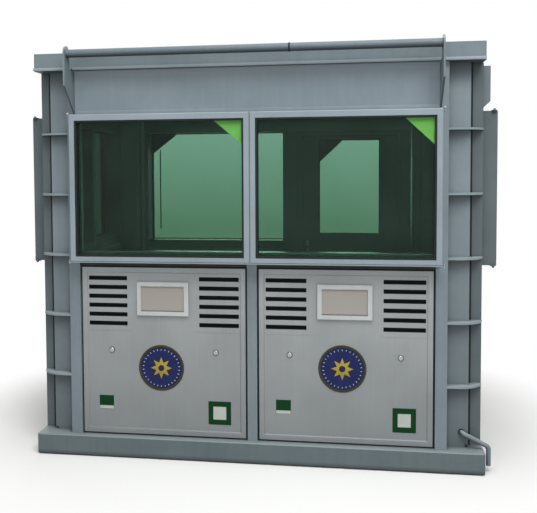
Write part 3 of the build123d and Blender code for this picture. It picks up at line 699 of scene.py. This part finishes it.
# green corner films on the panes, plain
filmLook = {
    "thick": 0.6 * mm,
    "corners": [  # name, corner on the pane, legs across and down, body
        ("corner_film_left", (-0.046, -0.967, 2.051), (-0.166, -0.140), "booth"),
        ("corner_film_right", (1.049, -0.967, 2.051), (-0.161, -0.151), "booth"),
        ("corner_film_rear", (-1.055, 0.967, 2.057), (0.201, -0.156), "booth"),
        ("corner_film_door", (0.339, 0.8735, 1.988), (0.178, -0.168), "door"),
    ],
}
for name, corner, legs, body in filmLook["corners"]:
    out = math.copysign(filmLook["thick"], corner[1])
    film = newPiece(name, "plane", (corner[0] + legs[0] / 2, corner[1], corner[2] + legs[1] / 2),
                    (abs(legs[0]), abs(legs[1]), 1), (math.pi / 2, 0, 0), size=1)
    editOn(film)
    bpy.ops.mesh.select_mode(type="VERT")
    bpy.ops.mesh.select_all(action="DESELECT")
    work = bmesh.from_edit_mesh(film.data)
    for vertex in work.verts:  # the corner opposite the pane's own is cut off
        vertex.select_set(abs(vertex.co.x - corner[0]) > 1 * mm and abs(vertex.co.z - corner[2]) > 1 * mm)
    bpy.ops.mesh.delete(type="VERT")
    bpy.ops.mesh.select_all(action="SELECT")
    bpy.ops.mesh.edge_face_add()  # a triangle over the three that are left
    bpy.ops.mesh.select_all(action="SELECT")
    pushFaces((0, out, 0))
    bpy.ops.mesh.select_all(action="SELECT")
    bpy.ops.mesh.normals_make_consistent(inside=False)
    editOff()
    finishPiece(film, body, leafVinyl)
print("corner films:", len(filmLook["corners"]))


# plain round badges: raised bronze rim, sunk navy field, ring of ticks and a gold rosette
badgeLook = {
    "radius": 0.141, "thick": 4 * mm, "rim": 13 * mm, "rimEdge": 0.9 * mm, "sink": 1.4 * mm, "face": -0.886,
    "places": ((-0.5623, 0.552), (0.5345, 0.581)),
    "ticks": 30, "tickAt": 0.112, "tick": (3.5 * mm, 1.6 * mm, 9 * mm), "tickSlope": (0.6 * mm, 0.3 * mm),
    "points": 8, "rosette": 0.066, "waist": 0.52, "rise": 1.6 * mm, "slope": (2 * mm, 1 * mm),
    "boss": 0.019, "bossDeep": 4 * mm, "bossEdge": 1.6 * mm,
}
disc = newPiece("badge_disc", "cylinder", (0, badgeLook["face"] - badgeLook["thick"] / 2, 0), turn=(math.pi / 2, 0, 0),
                vertices=96, radius=badgeLook["radius"], depth=badgeLook["thick"])
editOn(disc)
pick(disc, lambda at, normal: normal.y < -0.9)
bpy.ops.mesh.inset(thickness=badgeLook["rim"])
pushFaces((0, badgeLook["sink"], 0))
pick(disc, lambda at, run: at.y < badgeLook["face"] - badgeLook["thick"] * 0.9, "EDGE")
bpy.ops.mesh.bevel(offset=badgeLook["rimEdge"], segments=2)
editOff()
for material in (bronzeEnamel, navyEnamel):
    disc.data.materials.append(material)
fieldAt = badgeLook["face"] - badgeLook["thick"] + badgeLook["sink"]
for face in disc.data.polygons:
    face.material_index = 1 if abs(face.center.y - fieldAt) < 0.2 * mm and face.normal.y < -0.9 else 0
tick = newPiece("badge_tick", "cube", (0, fieldAt - badgeLook["tick"][1] / 2, badgeLook["tickAt"]),
                badgeLook["tick"], size=1)
editOn(tick)
pick(tick, lambda at, normal: normal.y < -0.9)
bpy.ops.mesh.inset(thickness=badgeLook["tickSlope"][0])
bpy.ops.transform.translate(value=(0, -badgeLook["tickSlope"][1], 0))
editOff()
tick.data.materials.append(whiteVinyl)
ticks = [tick]
for n in range(1, badgeLook["ticks"]):
    twin = copyPiece(tick, f"badge_tick_{n}")
    twin.rotation_euler = (0, n * 2 * math.pi / badgeLook["ticks"], 0)
    alone(twin)
    bpy.ops.object.transform_apply(location=True, rotation=True, scale=True)
    ticks.append(twin)
rosette = newPiece("badge_rosette", "circle", (0, fieldAt, 0), turn=(math.pi / 2, 0, 0), fill_type="NGON",
                   vertices=2 * badgeLook["points"], radius=badgeLook["rosette"])
editOn(rosette)
bpy.ops.mesh.select_mode(type="VERT")
bpy.ops.mesh.select_all(action="DESELECT")
work = bmesh.from_edit_mesh(rosette.data)
for vertex in work.verts:
    step = round(math.atan2(vertex.co.x, vertex.co.z) / (math.pi / badgeLook["points"]))
    vertex.select_set(step % 2 == 1)
bmesh.update_edit_mesh(rosette.data)
bpy.ops.transform.resize(value=(badgeLook["waist"], 1, badgeLook["waist"]), center_override=(0, fieldAt, 0))
bpy.ops.mesh.select_all(action="SELECT")
pushFaces((0, -badgeLook["rise"], 0))
bpy.ops.mesh.select_all(action="SELECT")
bpy.ops.mesh.normals_make_consistent(inside=False)
pick(rosette, lambda at, normal: normal.y < -0.9)
bpy.ops.mesh.inset(thickness=badgeLook["slope"][0])
bpy.ops.transform.translate(value=(0, -badgeLook["slope"][1], 0))
editOff()
rosette.data.materials.append(goldEnamel)
boss = newPiece("badge_boss", "cylinder", (0, fieldAt - badgeLook["bossDeep"] / 2, 0), turn=(math.pi / 2, 0, 0),
                vertices=32, radius=badgeLook["boss"], depth=badgeLook["bossDeep"])
editOn(boss)
pick(boss, lambda at, run: at.y < fieldAt - badgeLook["bossDeep"] * 0.9, "EDGE")
bpy.ops.mesh.bevel(offset=badgeLook["bossEdge"], segments=3)
editOff()
boss.data.materials.append(navyEnamel)
badge = joinPieces([disc, *ticks, rosette, boss], "badge")
for name, (x, z) in zip(("badge_left", "badge_right"), badgeLook["places"]):
    finishPiece(copyPiece(badge, name, (x, 0, z)), "booth")
bpy.data.objects.remove(badge)
print("badges:", len(badgeLook["places"]))


# plain label plates low on the panels: a green field with a white piece laid on it
labelLook = {
    "thick": 0.8 * mm, "face": -0.886, "round": 2 * mm,
    "plates": [  # name, low corner, size, then the white piece's low corner and size
        ("label_plain_left", (-0.958, 0.285), (0.0915, 0.085), (0.0015, 0.0015), (0.0885, 0.019)),
        ("label_plain_right", (0.141, 0.297), (0.0895, 0.085), (0.0015, 0.0015), (0.0865, 0.019)),
        ("label_square_left", (-0.271, 0.213), (0.139, 0.143), (0.030, 0.032), (0.079, 0.079)),
        ("label_square_right", (0.827, 0.213), (0.135, 0.145), (0.030, 0.033), (0.075, 0.079)),
    ],
}


def makeLabel(name, foot, size, back, vinyl):  # a thin plate with rounded corners
    label = newPiece(name, "cube", (foot[0] + size[0] / 2, back - labelLook["thick"] / 2, foot[1] + size[1] / 2),
                     (size[0], labelLook["thick"], size[1]), size=1)
    editOn(label)
    pick(label, lambda at, run: abs(run.y) > 0.1 * mm, "EDGE")
    bpy.ops.mesh.bevel(offset=labelLook["round"], segments=3)
    editOff()
    label.data.materials.append(vinyl)
    return label


for name, foot, size, inner, innerSize in labelLook["plates"]:
    field = makeLabel(name, foot, size, labelLook["face"], bottleVinyl)
    white = makeLabel(name + "_white", (foot[0] + inner[0], foot[1] + inner[1]), innerSize,
                      labelLook["face"] - labelLook["thick"], whiteVinyl)
    finishPiece(joinPieces([field, white], name), "booth")
print("labels:", len(labelLook["plates"]))


# drip strip over the window heads
stripLook = {"size": (2.136, 3 * mm, 26 * mm), "at": (0, -0.9095, 2.113), "edge": 1 * mm}
strip = newPiece("fascia_strip", "cube", stripLook["at"], stripLook["size"], size=1)
editOn(strip)
pick(strip, lambda at, run: abs(run.x) > 1 and at.y < stripLook["at"][1], "EDGE")
bpy.ops.mesh.bevel(offset=stripLook["edge"], segments=2)
editOff()
finishPiece(strip, "booth", roofEnamel, slot="body_paint")


# rubber collar on the awning tube, grommet round the pipe, and black washers under the panel locks whose black paints
# the shade below each lock
sleeveLook = {
    "sleeves": [  # name, middle, turn, bore, wall, length, rounding
        ("tube_collar", (0.237, -1.031, 2.457), (0, math.pi / 2, 0), 24.1 * mm, 2.4 * mm, 10 * mm, 0.6 * mm),
        ("pipe_grommet", (1.225, -0.844, 0.22), (math.pi / 2, 0, 0), 13.7 * mm, 4.5 * mm, 8 * mm, 1.5 * mm),
        ("lock_shade_washer_1", (-0.8735, -0.8871, 0.656), (math.pi / 2, 0, 0), 15.1 * mm, 2.6 * mm, 2.2 * mm, 0.5 * mm),
        ("lock_shade_washer_2", (-0.2235, -0.8871, 0.656), (math.pi / 2, 0, 0), 15.1 * mm, 2.6 * mm, 2.2 * mm, 0.5 * mm),
        ("lock_shade_washer_3", (0.2235, -0.8871, 0.656), (math.pi / 2, 0, 0), 15.1 * mm, 2.6 * mm, 2.2 * mm, 0.5 * mm),
        ("lock_shade_washer_4", (0.8735, -0.8871, 0.656), (math.pi / 2, 0, 0), 15.1 * mm, 2.6 * mm, 2.2 * mm, 0.5 * mm),
    ],
}


def makeSleeve(name, place, turn, bore, wall, long, edge):  # a short open ring with rounded rims
    sleeve = newPiece(name, "cylinder", place, turn=turn, vertices=40, radius=bore, depth=long, end_fill_type="NOTHING")
    thicken = sleeve.modifiers.new("wall", "SOLIDIFY")
    thicken.thickness = wall
    thicken.offset = 1
    soften = sleeve.modifiers.new("rims", "BEVEL")
    soften.width = edge
    soften.segments = 2
    alone(sleeve)
    for modifier in ("wall", "rims"):
        bpy.ops.object.modifier_apply(modifier=modifier)
    return sleeve


for sleeve in sleeveLook["sleeves"]:
    finishPiece(makeSleeve(*sleeve), "booth", rubber)
print("small fittings: strip and", len(sleeveLook["sleeves"]), "sleeves")


# dark strips of painted shade and drips under the front windows, dark corner beads that paint the shadow gaps at the
# corners, roof lips, pressed beads, strips and sill plates inside
trimLook = {
    "edge": 1.2 * mm,
    "bars": [  # name, middle, size, material
        ("sill_shade_strip_left", (-0.5485, -0.903, 1.1975), (1.035, 0.006, 0.031), shade_strip),
        ("sill_shade_strip_right", (0.5485, -0.903, 1.1975), (1.035, 0.006, 0.031), shade_strip),
        # black corner beads: painted shade for the shadow gaps between columns and posts
        ("corner_shade_bead_front_right", (1.2715, -0.7935, 1.249), (0.017, 0.007, 2.236), rubber),
        ("corner_shade_bead_front_left", (-1.276, -0.7935, 1.249), (0.026, 0.007, 2.236), rubber),
        ("corner_shade_bead_rear_right", (1.269, 0.7935, 1.249), (0.012, 0.007, 2.236), rubber),
        ("corner_shade_bead_rear_left", (-1.269, 0.7935, 1.249), (0.012, 0.007, 2.236), rubber),
        # white enamel on the left strip: painted highlight for the pale edge line inside the left corner
        ("inner_strip_left", (-1.1115, 0.8175, 1.2), (0.028, 0.005, 2.1), hatchEnamel),
        ("inner_strip_right", (1.060, 0.8175, 1.2), (0.026, 0.005, 2.1), trimAlloy),
        ("sill_plate_left", (-0.5485, -0.856, 1.268), (1.035, 0.086, 0.004), trimAlloy),
        ("sill_plate_right", (0.5485, -0.856, 1.268), (1.035, 0.086, 0.004), trimAlloy),
        ("sill_plate_rear", (-0.5115, 0.8555, 1.1875), (1.105, 0.088, 0.005), trimAlloy),
        ("front_drip_left", (-0.5475, -0.951, 1.2105), (1.093, 0.086, 0.007), frameEnamel),
        ("front_drip_right", (0.5475, -0.951, 1.2105), (1.093, 0.086, 0.007), frameEnamel),
        ("roof_lip_left", (-1.2138, -0.9375, 2.38), (0.2376, 0.003, 0.018), frameEnamel),
        ("roof_lip_front", (0, -0.9375, 2.38), (2.166, 0.003, 0.018), frameEnamel),
        ("roof_lip_right", (1.2138, -0.9375, 2.38), (0.2376, 0.003, 0.018), frameEnamel),
        ("slot_bead_1", (-0.8945, -0.886, 0.778), (0.29, 0.003, 0.005), panelSheet),
        ("slot_bead_2", (-0.2025, -0.886, 0.778), (0.29, 0.003, 0.005), panelSheet),
        ("slot_bead_3", (0.2025, -0.886, 0.778), (0.29, 0.003, 0.005), panelSheet),
        ("slot_bead_4", (0.8945, -0.886, 0.778), (0.29, 0.003, 0.005), panelSheet),
        ("rear_glass_strip", (-0.9965, 0.9575, 1.6), (0.009, 0.006, 0.66), rubber),
    ],
}
for name, middle, size, material in trimLook["bars"]:
    bar = newPiece(name, "cube", middle, size, size=1)
    longest = max(size)
    editOn(bar)
    pick(bar, lambda at, run: run.length > longest * 0.9, "EDGE")
    bpy.ops.mesh.bevel(offset=trimLook["edge"], segments=2)
    editOff()
    finishPiece(bar, "booth", material)
print("trim bars:", len(trimLook["bars"]))


# drip sills under the side windows, hollowed beneath
dripLook = {"low": (1.341, -0.711, 1.187), "high": (1.434, 0.711, 1.2138), "edge": 3 * mm, "lip": 12 * mm,
            "hollow": 8 * mm}
dripMiddle = [(a + b) / 2 for a, b in zip(dripLook["low"], dripLook["high"])]
dripSize = [b - a for a, b in zip(dripLook["low"], dripLook["high"])]
drip = newPiece("side_drip_right", "cube", dripMiddle, dripSize, size=1)
editOn(drip)
pick(drip, lambda at, run: at.x > dripMiddle[0] and at.z < dripMiddle[2] and abs(run.y) > 1, "EDGE")
bpy.ops.mesh.bevel(offset=dripLook["edge"], segments=3)
pick(drip, lambda at, normal: normal.z < -0.9)
bpy.ops.mesh.inset(thickness=dripLook["lip"])
pushFaces((0, 0, dripLook["hollow"]))
editOff()
for piece in (drip, copyPiece(drip, "side_drip_left", flip=(-1, 1, 1))):
    finishPiece(piece, "booth", shadedSideEnamel)
print("side drips: 2")
